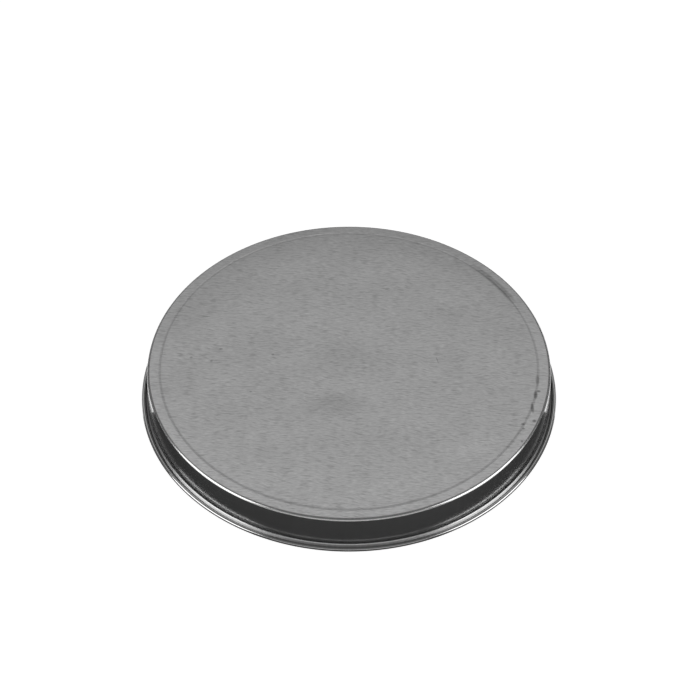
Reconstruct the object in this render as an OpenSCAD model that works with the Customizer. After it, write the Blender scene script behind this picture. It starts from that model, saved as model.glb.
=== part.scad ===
// Shallow round candle tin: a drawn tinplate base pan under a slip-on lid with a flared, rolled rim.
// Millimetres, +Z up. The origin is the centre of the face that the tin stands on.
// Each pressing is turned from the section of its sheet, whose two sides are one path at two depths.

/* [Lid] */
// Width over the rolled bead at the lid's mouth
tin_d = 100; // [80:1:120]
// Height of the lid, from the underside of its bead to its top panel
lid_h = 9.8; // [8:0.2:20]
// Thickness of the tinplate
sheet_t = 0.25; // [0.2:0.01:0.3]
// How far the bead stands out past the skirt
skirt_inset = 1.62; // [1.5:0.02:1.8]
// Outer radius of the rolled bead's own section
bead_r = 0.5; // [0.48:0.01:0.55]
// Radius of the hollow fillet between the skirt and the flare
fillet_r = 0.7; // [0.5:0.05:0.9]
// Angle between the skirt and the flare that leads into the bead, in degrees
flare = 50; // [46:1:54]
// Outer radius of the corner between the top panel and the skirt
corner_r = 0.8; // [0.45:0.05:1]
// Distance from the skirt to the crease that frames the top panel
crease_inset = 3.05; // [2.5:0.05:6]
// Depth of the crease
crease_depth = 0.05; // [0.03:0.01:0.1]
// How far the band outside the crease falls away towards the corner
band_drop = 0.14; // [0.05:0.01:0.2]

/* [Base] */
// Gap between the lid's skirt and the wall of the base, on the radius
slip_gap = 0.3; // [0.2:0.05:0.4]
// How far the base stands below the lid's bead when the tin is shut
base_proud = 0.2; // [0.1:0.05:0.5]
// Outer radius of the curl that is rolled inwards at the base's mouth
curl_r = 0.66; // [0.6:0.02:0.8]
// Outer radius of the bend at the foot of the base's wall
foot_r = 1.2; // [0.8:0.1:2]
// Distance from the base's wall to the stiffening ring pressed up into its bottom
ring_inset = 5.7; // [5:0.1:15]
// Height of the stiffening ring
ring_h = 0.5; // [0.2:0.05:0.6]

/* [Fit] */
// Gap left between the lid and the curl of the base when the tin is shut
seat_gap = 0.1; // [0.05:0.01:0.2]

/* [Hidden] */
$fn = 256;

// Angle between neighbouring points round a bend
bend_step = 15;
// How far the sheet turns round the lid's bead and the base's curl
bead_roll = 275;
curl_roll = 300;
// Half width of the crease, and half width and flank of the stiffening ring
crease_w = 0.35;
ring_w = 1;
ring_flank = 0.5;

// The flare runs straight from the fillet to the bead and touches both, which sets the fillet's height
lid_z = base_proud + lid_h;
bead_c = tin_d / 2 - bead_r;
bead_z = base_proud + bead_r;
skirt_r = tin_d / 2 - skirt_inset;
bead_reach = bead_c - skirt_r - fillet_r;
fillet_z = bead_z + (bead_reach * cos(flare) + fillet_r - bead_r + sheet_t) / sin(flare);
crease_r = skirt_r - crease_inset;
corner_z = lid_z - band_drop - corner_r;
band_slope = band_drop / (skirt_r - corner_r - crease_r);

base_r = skirt_r - sheet_t - slip_gap;
curl_z = lid_z - band_drop - sheet_t - seat_gap - curl_r;
ring_r = base_r - ring_inset;

// Points round a bend, from one angle to another
function arc(centre, radius, start, end) =
    let (steps = ceil(abs(end - start) / bend_step))
    [for (i = [0:steps]) let (a = start + (end - start) * i / steps) centre + radius * [cos(a), sin(a)]];

function reverse(points) = [for (i = [len(points) - 1:-1:0]) points[i]];

// The lid's sheet at a depth below its outer face, from the middle of the panel to the raw edge
function lid_side(depth) = concat(
    [
        [0, lid_z - depth],
        [crease_r - crease_w, lid_z - depth],
        [crease_r, lid_z - crease_depth - depth],
        [crease_r + crease_w, lid_z - band_slope * crease_w - depth]
    ],
    arc([skirt_r - corner_r, corner_z], corner_r - depth, 90, 0),
    arc([skirt_r + fillet_r, fillet_z], fillet_r + depth, 180, 180 + flare),
    arc([bead_c, bead_z], bead_r - sheet_t + depth, 180 + flare, 180 + flare + bead_roll)
);

// The base's sheet at a depth above its outer face, from the middle of the bottom to the raw edge
function base_side(depth) = concat(
    [
        [0, depth],
        [ring_r - ring_w - ring_flank, depth],
        [ring_r - ring_w, ring_h + depth],
        [ring_r + ring_w, ring_h + depth],
        [ring_r + ring_w + ring_flank, depth]
    ],
    arc([base_r - foot_r, foot_r], foot_r - depth, 270, 360),
    arc([base_r - curl_r, curl_z], curl_r - depth, 0, curl_roll)
);

module lid_shell() {
    color("silver")
        rotate_extrude()
            polygon(concat(lid_side(0), reverse(lid_side(sheet_t))));
}

module base_pan() {
    color("gainsboro")
        rotate_extrude()
            polygon(concat(base_side(0), reverse(base_side(sheet_t))));
}

lid_shell();
base_pan();
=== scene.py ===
"""A shut, shallow candle tin: tinplate lid over a base pan, built in the CAD frame and lit as in a studio."""

import math
from typing import NamedTuple

import bmesh
import bpy
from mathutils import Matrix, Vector


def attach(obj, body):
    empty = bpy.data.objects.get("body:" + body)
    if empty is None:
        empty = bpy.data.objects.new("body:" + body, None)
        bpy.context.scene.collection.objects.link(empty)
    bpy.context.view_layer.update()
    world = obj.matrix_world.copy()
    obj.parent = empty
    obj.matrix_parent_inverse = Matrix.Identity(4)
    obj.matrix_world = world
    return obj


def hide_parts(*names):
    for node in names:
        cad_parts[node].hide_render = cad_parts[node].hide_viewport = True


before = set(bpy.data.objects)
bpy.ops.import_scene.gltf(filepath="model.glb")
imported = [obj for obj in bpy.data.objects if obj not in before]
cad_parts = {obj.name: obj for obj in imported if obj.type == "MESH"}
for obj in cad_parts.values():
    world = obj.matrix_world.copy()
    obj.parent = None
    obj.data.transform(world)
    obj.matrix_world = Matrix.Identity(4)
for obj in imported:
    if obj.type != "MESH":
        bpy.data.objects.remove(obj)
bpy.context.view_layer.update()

MM = 0.001

# The tin's section in millimetres and degrees, as in the CAD model. CREASE_W and RING_W are half widths.
TIN_D = 100.0
LID_H = 9.8
SHEET_T = 0.25
BEAD_R = 0.5
BEAD_ROLL = 275
FILLET_R = 0.7
FLARE = 50
SKIRT_INSET = 1.62
CORNER_R = 0.8
CREASE_INSET = 3.05
CREASE_W = 0.35
CREASE_DEPTH = 0.05
BAND_DROP = 0.14
SLIP_GAP = 0.3
BASE_PROUD = 0.2
CURL_R = 0.66
CURL_ROLL = 300
FOOT_R = 1.2
RING_INSET = 5.7
RING_W = 1.0
RING_FLANK = 0.5
RING_H = 0.5
SEAT_GAP = 0.1

LID_Z = BASE_PROUD + LID_H
BEAD_C = TIN_D / 2 - BEAD_R
BEAD_Z = BASE_PROUD + BEAD_R
SKIRT_R = TIN_D / 2 - SKIRT_INSET
BEAD_REACH = BEAD_C - SKIRT_R - FILLET_R
FLARE_COS = math.cos(math.radians(FLARE))
FLARE_SIN = math.sin(math.radians(FLARE))
FILLET_Z = BEAD_Z + (BEAD_REACH * FLARE_COS + FILLET_R - BEAD_R + SHEET_T) / FLARE_SIN
CREASE_R = SKIRT_R - CREASE_INSET
CORNER_Z = LID_Z - BAND_DROP - CORNER_R
BASE_R = SKIRT_R - SHEET_T - SLIP_GAP
CURL_Z = LID_Z - BAND_DROP - SHEET_T - SEAT_GAP - CURL_R
RING_R = BASE_R - RING_INSET

# How finely the section is cut: steps round the tin and along each stretch, and degrees a step on each bend.
SEGMENTS = 480
FLAT_STEPS = 4
BAND_STEPS = 24
SKIRT_STEPS = 8
FLARE_STEPS = 6
BEND_STEP = 5
ROLL_STEP = 10


def arc(centre, radius, start, end, step=BEND_STEP):
    steps = math.ceil(abs(end - start) / step)
    angles = [math.radians(start + (end - start) * i / steps) for i in range(steps + 1)]
    return [(centre[0] + radius * math.cos(a), centre[1] + radius * math.sin(a)) for a in angles]


def line(a, b, steps):
    """Points from a to just before b."""
    return [(a[0] + (b[0] - a[0]) * i / steps, a[1] + (b[1] - a[1]) * i / steps) for i in range(steps)]


def dip(x):
    """A smooth hollow, 1 deep in the middle and 0 from a half width out."""
    return 0.5 + 0.5 * math.cos(math.pi * min(1.0, abs(x)))


def lid_side(depth):
    """The lid's sheet at a depth below its outer face, from the middle of the panel to the raw edge."""
    band_start = CREASE_R - CREASE_W
    band_end = SKIRT_R - CORNER_R
    panel = line((0.0, LID_Z - depth), (band_start, LID_Z - depth), FLAT_STEPS)
    band = []
    for i in range(BAND_STEPS):
        r = band_start + (band_end - band_start) * i / BAND_STEPS
        fall = BAND_DROP * max(0.0, (r - CREASE_R) / (band_end - CREASE_R))
        crease = CREASE_DEPTH * dip((r - CREASE_R) / CREASE_W)
        band.append((r, LID_Z - fall - crease - depth))
    corner = arc((SKIRT_R - CORNER_R, CORNER_Z), CORNER_R - depth, 90, 0)
    skirt = line((SKIRT_R - depth, CORNER_Z), (SKIRT_R - depth, FILLET_Z), SKIRT_STEPS)[1:]
    fillet = arc((SKIRT_R + FILLET_R, FILLET_Z), FILLET_R + depth, 180, 180 + FLARE)
    bead_r = BEAD_R - SHEET_T + depth
    bead = arc((BEAD_C, BEAD_Z), bead_r, 180 + FLARE, 180 + FLARE + BEAD_ROLL, ROLL_STEP)
    flare = line(fillet[-1], bead[0], FLARE_STEPS)[1:]
    return panel + band + corner + skirt + fillet + flare + bead


def base_side(depth):
    """The base's sheet at a depth above its outer face, from the middle of the bottom to the raw edge."""
    half_ring = RING_W + RING_FLANK
    bottom = line((0.0, depth), (RING_R - half_ring, depth), FLAT_STEPS)
    ring = []
    for i in range(BAND_STEPS):
        x = -1 + 2 * i / BAND_STEPS
        up_flank = min(1.0, (1 - abs(x)) * half_ring / RING_FLANK)
        rise = RING_H * (0.5 - 0.5 * math.cos(math.pi * up_flank))
        ring.append((RING_R + x * half_ring, rise + depth))
    flat = line((RING_R + half_ring, depth), (BASE_R - FOOT_R, depth), FLAT_STEPS)
    foot = arc((BASE_R - FOOT_R, FOOT_R), FOOT_R - depth, 270, 360)
    curl = arc((BASE_R - CURL_R, CURL_Z), CURL_R - depth, 0, CURL_ROLL, ROLL_STEP)
    return bottom + ring + flat + foot + curl


def link_mesh(name, mesh):
    """Puts a finished bmesh into the scene as an object."""
    data = bpy.data.meshes.new(name)
    mesh.to_mesh(data)
    mesh.free()
    piece = bpy.data.objects.new(name, data)
    bpy.context.scene.collection.objects.link(piece)
    return piece


def turned(name, side):
    """Turns a closed sheet section, whose two sides both start on the axis, into a mesh."""
    outer = side(0.0)
    inner = side(SHEET_T)[::-1]
    mesh = bmesh.new()
    turns = [2 * math.pi * k / SEGMENTS for k in range(SEGMENTS)]
    rings = []
    for r, z in outer + inner:
        if r == 0:
            rings.append([mesh.verts.new((0, 0, z * MM))] * SEGMENTS)
            continue
        rings.append([mesh.verts.new((r * math.cos(a) * MM, r * math.sin(a) * MM, z * MM)) for a in turns])
    for below, above in zip(rings, rings[1:]):
        for k in range(SEGMENTS):
            n = (k + 1) % SEGMENTS
            corners = list(dict.fromkeys([below[k], below[n], above[n], above[k]]))
            if len(corners) > 2:
                mesh.faces.new(corners).smooth = True
    # The raw edge of the sheet stays sharp on both of its sides.
    raw = len(outer) - 1
    for ring in (rings[raw], rings[raw + 1]):
        for k in range(SEGMENTS):
            mesh.edges.get((ring[k], ring[(k + 1) % SEGMENTS])).smooth = False
    bmesh.ops.recalc_face_normals(mesh, faces=mesh.faces)
    return link_mesh(name, mesh)


class Nodes:
    """A short way to write a node tree."""

    def __init__(self, tree):
        self.tree = tree

    def add(self, kind, inputs=None, **settings):
        node = self.tree.nodes.new(kind)
        for key, value in settings.items():
            setattr(node, key, value)
        for key, value in (inputs or {}).items():
            if isinstance(value, bpy.types.NodeSocket):
                self.tree.links.new(value, node.inputs[key])
            else:
                node.inputs[key].default_value = value
        return node

    def math(self, operation, *values):
        return self.add("ShaderNodeMath", dict(enumerate(values)), operation=operation).outputs[0]

    def total(self, first, *others):
        for value in others:
            first = self.math("ADD", first, value)
        return first

    def times(self, a, b):
        return self.math("MULTIPLY", a, b)

    def minus(self, a, b):
        return self.math("SUBTRACT", a, b)

    def apart(self, a, b):
        """How far apart two values are."""
        return self.math("ABSOLUTE", self.minus(a, b))

    def squares(self, a, b):
        """The sum of two squares."""
        return self.total(self.times(a, a), self.times(b, b))

    def length(self, a, b):
        return self.math("SQRT", self.squares(a, b))

    def ramp(self, value, low, high, to_low=0.0, to_high=1.0):
        inputs = {"Value": value, "From Min": low, "From Max": high, "To Min": to_low, "To Max": to_high}
        return self.add("ShaderNodeMapRange", inputs, interpolation_type="SMOOTHSTEP").outputs[0]

    def fade(self, value, low, high):
        """1 up to the low value and 0 from the high one."""
        return self.ramp(value, low, high, 1.0, 0.0)

    def swing(self, noise):
        """Noise spread over -1 to 1."""
        return self.ramp(noise, 0.3, 0.7, -1.0, 1.0)

    def noise(self, x, y, z, scale, detail):
        """Smooth noise between 0 and 1 over millimetre coordinates, stretched by a scale on each axis."""
        scaled = [self.times(value, factor) for value, factor in zip((x, y, z), scale)]
        place = self.add("ShaderNodeCombineXYZ", dict(zip("XYZ", scaled))).outputs[0]
        inputs = {"Vector": place, "Scale": 1.0, "Detail": detail, "Roughness": 0.5}
        return self.add("ShaderNodeTexNoise", inputs).outputs[0]


def new_material(name):
    material = bpy.data.materials.new(name)
    material.use_nodes = True
    tree = material.node_tree
    tree.nodes.clear()
    return material, Nodes(tree)


# The grey of clean tinplate, then what the painted shade and shadow in the rim, flare, crease and dents, the
# worn and stained places and the grain add to it or to the roughness, and how strong and high, in metres, the
# bumps are.
TIN_TONE = 0.66
# Painted shade in the rim's roll, in the groove beside it and on its lower side.
RIM_SHADE_TONE = -0.36
# Painted shade on the flare.
FLARE_SHADE_TONE = -0.24
# Painted shade in the pressed ring's crease.
RING_SHADE_TONE = -0.02
BAND_TONE = 0.03
CLOUD_TONE = -0.035
SPECK_TONE = -0.2
# Painted shade in small dents.
DENT_SHADE_TONE = -0.34
# Painted soft shadow along the crease.
CREASE_SHADOW_TONE = -0.22
DASH_TONE = -0.11
GLINT_TONE = 0.07
FINE_TONE = 0.06
PATCH_TONE = 0.02
STREAK_TONE = 0.018
PIT_TONE = 0.012
RING_ROUGH = 0.15
PIT_ROUGH = 0.02
DASH_ROUGH = 0.04
BUMP_STRENGTH = 0.25
BUMP_HEIGHT = 0.000004

# Marks on the lid in millimetres: x, y, half length, half width and turn in degrees.
CLOUDS = [
    (-4, -12.5, 11, 6, -8),
    (-2, -12, 8, 4, 0),
    (-2, 2, 11, 7, 0),
    (25, 4, 5, 4, 0),
    (24, 18.5, 6, 4, 0),
    (-15.5, -33.8, 3, 3, 0),
    (-15, -33, 2, 1.5, 60),
]
SPECKS = [
    (21.2, 2.2, 1.4, 0.16, 105),
    (-34.8, 16.8, 1.6, 0.2, -6),
    (9.4, 13.4, 0.9, 0.22, -3),
    (-30.8, 5.9, 0.6, 0.4, 0),
    (-37.9, 3.1, 0.45, 0.4, 0),
    (-18.3, 4.0, 0.45, 0.35, 0),
    (-33.0, 1.9, 0.4, 0.5, 0),
    (-23.4, -8.1, 0.4, 0.3, 0),
    (45.0, -4.4, 2.2, 0.6, 90),
]
# Painted shade in small dents along the lid's right side.
DENT_SHADES = [
    (45.2, -8.0, 0.6, 0.5, 0),
    (44.4, -9.2, 1.7, 0.6, 88),
    (43.5, -13.4, 2.0, 0.5, 93),
    (43.8, -17.5, 0.6, 0.6, 0),
    (41.1, -18.6, 0.6, 0.4, 0),
    (41.2, -20.0, 0.5, 0.4, 0),
    (40.7, -24.0, 0.4, 0.4, 0),
]
# A painted soft shadow along the crease at the back right: its middle and half length, in degrees round the
# tin, and how far outside the crease it runs, in millimetres.
CREASE_SHADOW_AT = 38
CREASE_SHADOW_HALF = 14
CREASE_SHADOW_OUT = 0.2
# How far below the fillet's top the flare's roughness and painted shade start.
FLARE_DROP = 0.42


class Finish(NamedTuple):
    """How one pressing's tinplate looks, in roughness, millimetres and degrees."""

    face_rough: float  # the flat face
    wall_rough: float  # the drawn wall
    low_rough: float  # the flare below the wall
    rim_rough: float  # the rim's roll
    face_r: float  # the edge of the flat face
    ring_r: float  # the ring that is pressed into the face
    low_z: float  # the top of the flare, or any height below a pressing without one
    rim_r: float  # the middle of the rim's roll
    rim_z: float  # its height
    roll_r: float  # its own radius
    grain_turn: float  # the turn of the rolling grain
    marked: bool  # whether it carries the lid's marks


LID_FINISH = Finish(
    face_rough=0.4,
    wall_rough=0.19,
    low_rough=0.34,
    rim_rough=0.12,
    face_r=SKIRT_R - CORNER_R,
    ring_r=CREASE_R,
    low_z=FILLET_Z - FLARE_DROP,
    rim_r=BEAD_C,
    rim_z=BEAD_Z,
    roll_r=BEAD_R,
    grain_turn=-5,
    marked=True,
)
# The base has no flare, so its low_z lies under its bottom.
BASE_FINISH = Finish(
    face_rough=0.34,
    wall_rough=0.2,
    low_rough=0.2,
    rim_rough=0.2,
    face_r=BASE_R - FOOT_R,
    ring_r=RING_R,
    low_z=-1,
    rim_r=BASE_R - CURL_R,
    rim_z=CURL_Z,
    roll_r=CURL_R,
    grain_turn=84,
    marked=False,
)


def oval(n, x, y, mark):
    """A soft oval mark: 1 at its middle and 0 from its edge out."""
    mark_x, mark_y, half_long, half_wide, turn = mark
    c = math.cos(math.radians(turn))
    s = math.sin(math.radians(turn))
    dx = n.minus(x, mark_x)
    dy = n.minus(y, mark_y)
    along = n.total(n.times(dx, c / half_long), n.times(dy, s / half_long))
    across = n.minus(n.times(dy, c / half_wide), n.times(dx, s / half_wide))
    return n.fade(n.squares(along, across), 0.0, 1.0)


def mark_tone(n, x, y, radius, around):
    """The tone of every cloud and speck on the lid, of the painted shade in its dents and of the painted
    shadow along its crease.
    """
    tones = []
    for marks, tone in ((CLOUDS, CLOUD_TONE), (SPECKS, SPECK_TONE), (DENT_SHADES, DENT_SHADE_TONE)):
        tones += [n.times(oval(n, x, y, mark), tone) for mark in marks]
    # The painted shadow along the crease at the back right.
    middle = math.radians(CREASE_SHADOW_AT) * SKIRT_R
    end = math.radians(CREASE_SHADOW_HALF) * SKIRT_R
    ends = n.fade(n.apart(around, middle), 3.0, end)
    sides = n.fade(n.apart(radius, CREASE_R + CREASE_SHADOW_OUT), 0.4, 1.1)
    return n.total(*tones, n.times(n.times(ends, sides), CREASE_SHADOW_TONE))


def rolling_grain(n, x, y, turn):
    """The sheet's rolling grain: its dark dashes, its fine grain and the whole tone.

    The third coordinate takes each layer to another place in the noise.
    """
    c = math.cos(math.radians(turn))
    s = math.sin(math.radians(turn))
    sway = n.ramp(n.noise(x, y, 0.0, (0.07, 0.09, 0.0), 2.0), 0.3, 0.7, -0.6, 0.6)
    along = n.total(n.times(x, c), n.times(y, s))
    across = n.total(n.minus(n.times(y, c), n.times(x, s)), sway)
    dash = n.ramp(n.noise(along, across, 0.0, (0.36, 2.7, 0.0), 1.0), 0.47, 0.72)
    glint = n.ramp(n.noise(along, across, 7.0, (0.4, 2.6, 1.0), 1.0), 0.54, 0.74)
    fine = n.swing(n.noise(along, across, 3.0, (0.8, 4.0, 1.0), 2.0))
    patch = n.swing(n.noise(x, y, 5.0, (0.07, 0.1, 1.0), 2.0))
    tone = n.total(n.times(dash, DASH_TONE), n.times(glint, GLINT_TONE))
    tone = n.total(tone, n.times(fine, FINE_TONE), n.times(patch, PATCH_TONE))
    return dash, fine, tone


def rim_masks(n, radius, z, finish):
    """Where the rolled rim is, and where shade is painted on it: in the roll, on its inner side and on its
    lower side.

    Each mask's two numbers are where its soft edge starts and ends, in millimetres.
    """
    out = n.minus(radius, finish.rim_r)
    up = n.minus(z, finish.rim_z)
    rolled = n.length(out, up)
    roll_r = finish.roll_r
    bead = n.fade(rolled, roll_r + 0.05, roll_r + 0.15)
    hollow = n.fade(rolled, roll_r - 0.16, roll_r - 0.08)
    groove = n.times(n.fade(rolled, roll_r + 0.02, roll_r + 0.12), n.fade(out, -0.05, 0.2))
    under = n.times(bead, n.fade(up, 0.15, 0.3))
    # The painted shade: the hollow of the roll, the groove beside it and the rim's lower side.
    rim_shade = n.math("MAXIMUM", n.math("MAXIMUM", hollow, groove), under)
    return bead, rim_shade


def tinplate(name, finish):
    """Tinplate with a rolling grain on its flat faces, drawn walls and a burnished rim."""
    material, n = new_material(name)
    place = n.add("ShaderNodeTexCoord").outputs["Object"]
    in_mm = n.add("ShaderNodeVectorMath", {0: place, "Scale": 1 / MM}, operation="SCALE").outputs[0]
    axes = n.add("ShaderNodeSeparateXYZ", {"Vector": in_mm}).outputs
    x, y, z = axes["X"], axes["Y"], axes["Z"]
    radius = n.length(x, y)
    around = n.times(n.math("ARCTAN2", y, x), SKIRT_R)

    wall = n.ramp(radius, finish.face_r + 0.05, finish.face_r + 0.4)
    face = n.minus(1.0, wall)
    bead, rim_shade = rim_masks(n, radius, z, finish)
    low = n.fade(z, finish.low_z - 0.1, finish.low_z + 0.1)
    # Painted shade on the flare, below the wall and outside the rim's roll.
    flare = n.times(low, n.minus(1.0, bead))
    ring = n.fade(n.apart(radius, finish.ring_r), 0.1, 0.45)
    band = n.ramp(radius, finish.ring_r, finish.ring_r + 0.4)

    dash, fine, face_tone = rolling_grain(n, x, y, finish.grain_turn)
    # Painted shade in the pressed ring's crease.
    face_tone = n.total(face_tone, n.times(ring, RING_SHADE_TONE), n.times(band, BAND_TONE))
    if finish.marked:
        face_tone = n.total(face_tone, mark_tone(n, x, y, radius, around))
    streak = n.swing(n.noise(around, z, 11.0, (1.6, 0.12, 1.0), 3.0))
    pit = n.swing(n.noise(around, n.total(radius, z), 13.0, (2.4, 2.4, 1.0), 2.0))
    wall_tone = n.total(n.times(streak, STREAK_TONE), n.times(pit, PIT_TONE))
    shade = n.total(n.times(face_tone, face), n.times(wall_tone, wall), TIN_TONE)
    # The painted shade on the rim and on the flare darkens the grey here.
    shade = n.total(shade, n.times(rim_shade, RIM_SHADE_TONE), n.times(flare, FLARE_SHADE_TONE))
    colour = n.add("ShaderNodeCombineColor", {"Red": shade, "Green": shade, "Blue": shade}).outputs[0]

    rough = n.total(n.times(face, finish.face_rough), n.times(wall, finish.wall_rough))
    rough = n.total(rough, n.times(ring, RING_ROUGH), n.times(low, finish.low_rough - finish.wall_rough))
    rough = n.total(rough, n.times(bead, finish.rim_rough - finish.low_rough))
    rough = n.total(rough, n.times(n.times(pit, wall), PIT_ROUGH), n.times(n.times(dash, face), DASH_ROUGH))
    relief = n.total(n.times(n.times(fine, face), 0.5), n.times(wall, streak))
    bump_inputs = {"Strength": BUMP_STRENGTH, "Distance": BUMP_HEIGHT, "Height": relief}
    bump = n.add("ShaderNodeBump", bump_inputs).outputs[0]
    inputs = {"Base Color": colour, "Metallic": 1.0, "Roughness": rough, "Normal": bump}
    surface = n.add("ShaderNodeBsdfPrincipled", inputs)
    n.add("ShaderNodeOutputMaterial", {"Surface": surface.outputs[0]})
    return material


def plain(name, grey, glow=0.0):
    """A matt grey that may glow white."""
    material, n = new_material(name)
    inputs = {
        "Base Color": (grey, grey, grey, 1),
        "Roughness": 0.8,
        "Emission Color": (1, 1, 1, 1),
        "Emission Strength": glow,
    }
    surface = n.add("ShaderNodeBsdfPrincipled", inputs)
    n.add("ShaderNodeOutputMaterial", {"Surface": surface.outputs[0]})
    return material


def make_tin():
    lid = turned("lid", lid_side)
    lid.data.materials.append(tinplate("lid_tinplate", LID_FINISH))
    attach(lid, "lid")
    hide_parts("lid_shell")
    base = turned("base", base_side)
    base.data.materials.append(tinplate("base_tinplate", BASE_FINISH))
    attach(base, "base")
    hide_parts("base_pan")


# The camera's distance, elevation, lens and where it aims from the middle of the lid, in millimetres.
CAMERA_DISTANCE = 900.0
CAMERA_ELEVATION = 46.8
CAMERA_LENS = 193.2
CAMERA_SENSOR = 36.0
AIM_UP = 4.01
AIM_RIGHT = 0.25

# The stage in metres: the floor's side, then each dark card's name, side and middle.
FLOOR_SIDE = 8.0
FLOOR_GREY = 0.35
FLOOR_GLOW = 0.9
# The dark cards are a painted shadow: the shaded floor round the tin, as its metal reflects it.
SHADOW_CARD_GREY = 0.05
SHADOW_CARDS = [
    ("front_shadow_card", 0.14, (0, -0.0765, 0.00005)),
    ("right_shadow_card", 0.2, (0.161, 0.05, 0.00004)),
    ("left_shadow_card", 0.2, (-0.161, 0.05, 0.00004)),
]
# Each softbox's name, azimuth, elevation, width, height and glow. Azimuth 0 is to the right and 90 behind.
SOFTBOXES = [
    ("right_box", -20, 23, 0.97, 0.95, 1.9),
    ("left_box", 200, 23, 0.97, 0.95, 1.9),
    ("back_box", 90, 55, 1.2, 0.5, 0.62),
    ("front_box", -90, 18, 1.7, 0.7, 0.38),
]
SOFTBOX_DISTANCE = 1.2
WORLD_GLOW = 0.165


def make_camera():
    data = bpy.data.cameras.new("camera")
    data.lens = CAMERA_LENS
    data.sensor_width = CAMERA_SENSOR
    data.clip_start = 0.01
    camera = bpy.data.objects.new("camera", data)
    bpy.context.scene.collection.objects.link(camera)
    angle = math.radians(CAMERA_ELEVATION)
    middle = Vector((0, 0, LID_Z))
    away = Vector((0, -math.cos(angle), math.sin(angle)))
    up = Vector((0, math.sin(angle), math.cos(angle)))
    place = middle + CAMERA_DISTANCE * away
    target = middle + AIM_UP * up + Vector((AIM_RIGHT, 0, 0))
    camera.location = place * MM
    camera.rotation_euler = (target - place).to_track_quat("-Z", "Y").to_euler()
    bpy.context.scene.camera = camera


def sheet(name, side, place, material):
    """A flat square of the stage."""
    mesh = bmesh.new()
    bmesh.ops.create_grid(mesh, x_segments=1, y_segments=1, size=side / 2)
    piece = link_mesh(name, mesh)
    piece.location = place
    piece.data.materials.append(material)
    return piece


def softbox(name, azimuth, elevation, width, height, glow):
    """A soft light that faces the tin."""
    data = bpy.data.lights.new(name, "AREA")
    data.shape = "RECTANGLE"
    data.size = width
    data.size_y = height
    data.energy = glow * width * height * math.pi
    light = bpy.data.objects.new(name, data)
    a = math.radians(azimuth)
    e = math.radians(elevation)
    towards = Vector((math.cos(e) * math.cos(a), math.cos(e) * math.sin(a), math.sin(e)))
    light.location = SOFTBOX_DISTANCE * towards
    light.rotation_euler = (-towards).to_track_quat("-Z", "Y").to_euler()
    bpy.context.scene.collection.objects.link(light)


def make_stage():
    """A glowing white floor, dark cards that paint the shadowed floor into the tin's reflections only,
    softboxes and a dim white world.
    """
    sheet("floor", FLOOR_SIDE, (0, 0, 0), plain("floor_white", FLOOR_GREY, FLOOR_GLOW))
    shadow_card_material = plain("shadow_card_black", SHADOW_CARD_GREY)
    # Painted shadow: dark cards seen only in the tin's reflections.
    for name, side, place in SHADOW_CARDS:
        card = sheet(name, side, place, shadow_card_material)
        card.visible_camera = False
        card.visible_diffuse = False
        card.visible_shadow = False
    for box in SOFTBOXES:
        softbox(*box)
    world = bpy.data.worlds.new("studio")
    bpy.context.scene.world = world
    world.use_nodes = True
    world.node_tree.nodes.clear()
    n = Nodes(world.node_tree)
    back = n.add("ShaderNodeBackground", {"Color": (1, 1, 1, 1), "Strength": WORLD_GLOW})
    n.add("ShaderNodeOutputWorld", {"Surface": back.outputs[0]})


make_camera()
make_tin()
make_stage()
bpy.context.scene.view_settings.view_transform = "Standard"
